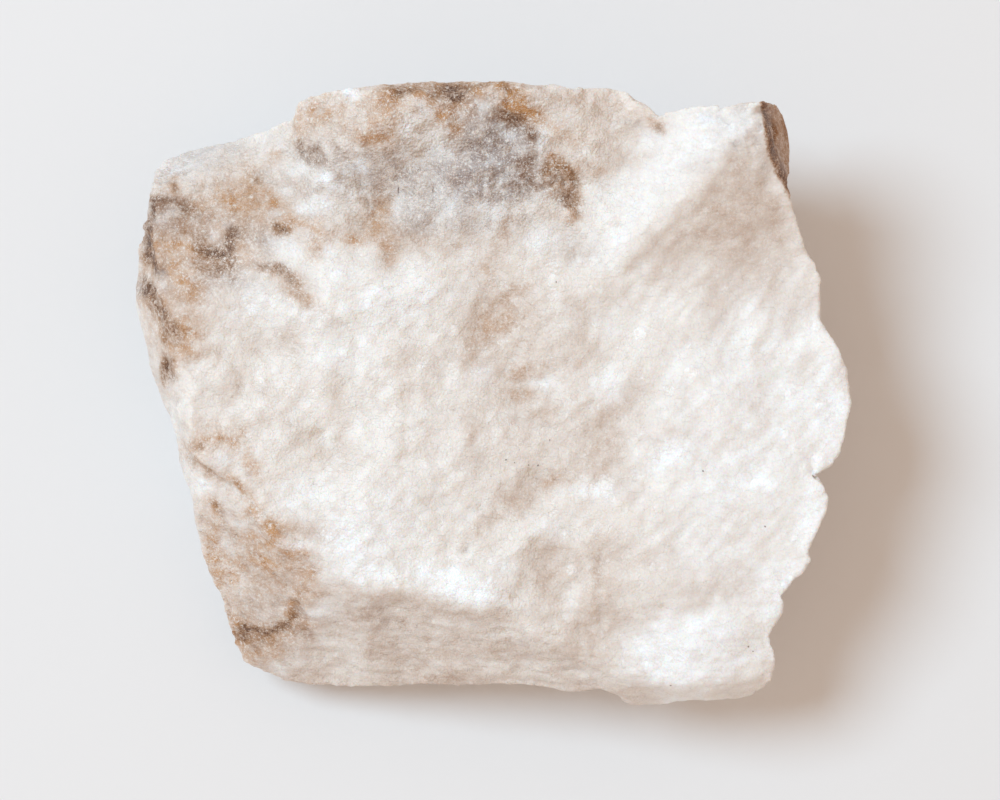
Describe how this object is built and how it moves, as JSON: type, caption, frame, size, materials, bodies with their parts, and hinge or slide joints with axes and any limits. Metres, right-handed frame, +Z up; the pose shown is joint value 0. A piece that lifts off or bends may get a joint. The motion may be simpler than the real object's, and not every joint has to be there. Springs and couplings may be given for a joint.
{
  "type": "rough anhydrite stone",
  "caption": "Broken lump of massive white anhydrite with brown-stained edges, a hollowed top, a sharp corner peak and undercut sides, lying on its flattest break.",
  "frame": {"origin": "middle of the bounding box in plan, on the surface the stone lies on", "axes": "+Z up from the resting face; +X (east) along the longest extent; +Y (north) towards the long crest, with the peak at the north-east corner"},
  "size_m": [0.05, 0.0434, 0.0195],
  "materials": {
    "anhydrite": "matte, sugary broken surface, slightly translucent, stained brown and ochre near the north and west edges"
  },
  "bodies": {
    "root": {"anhydrite_stone": "anhydrite"}
  },
  "joints": []
}
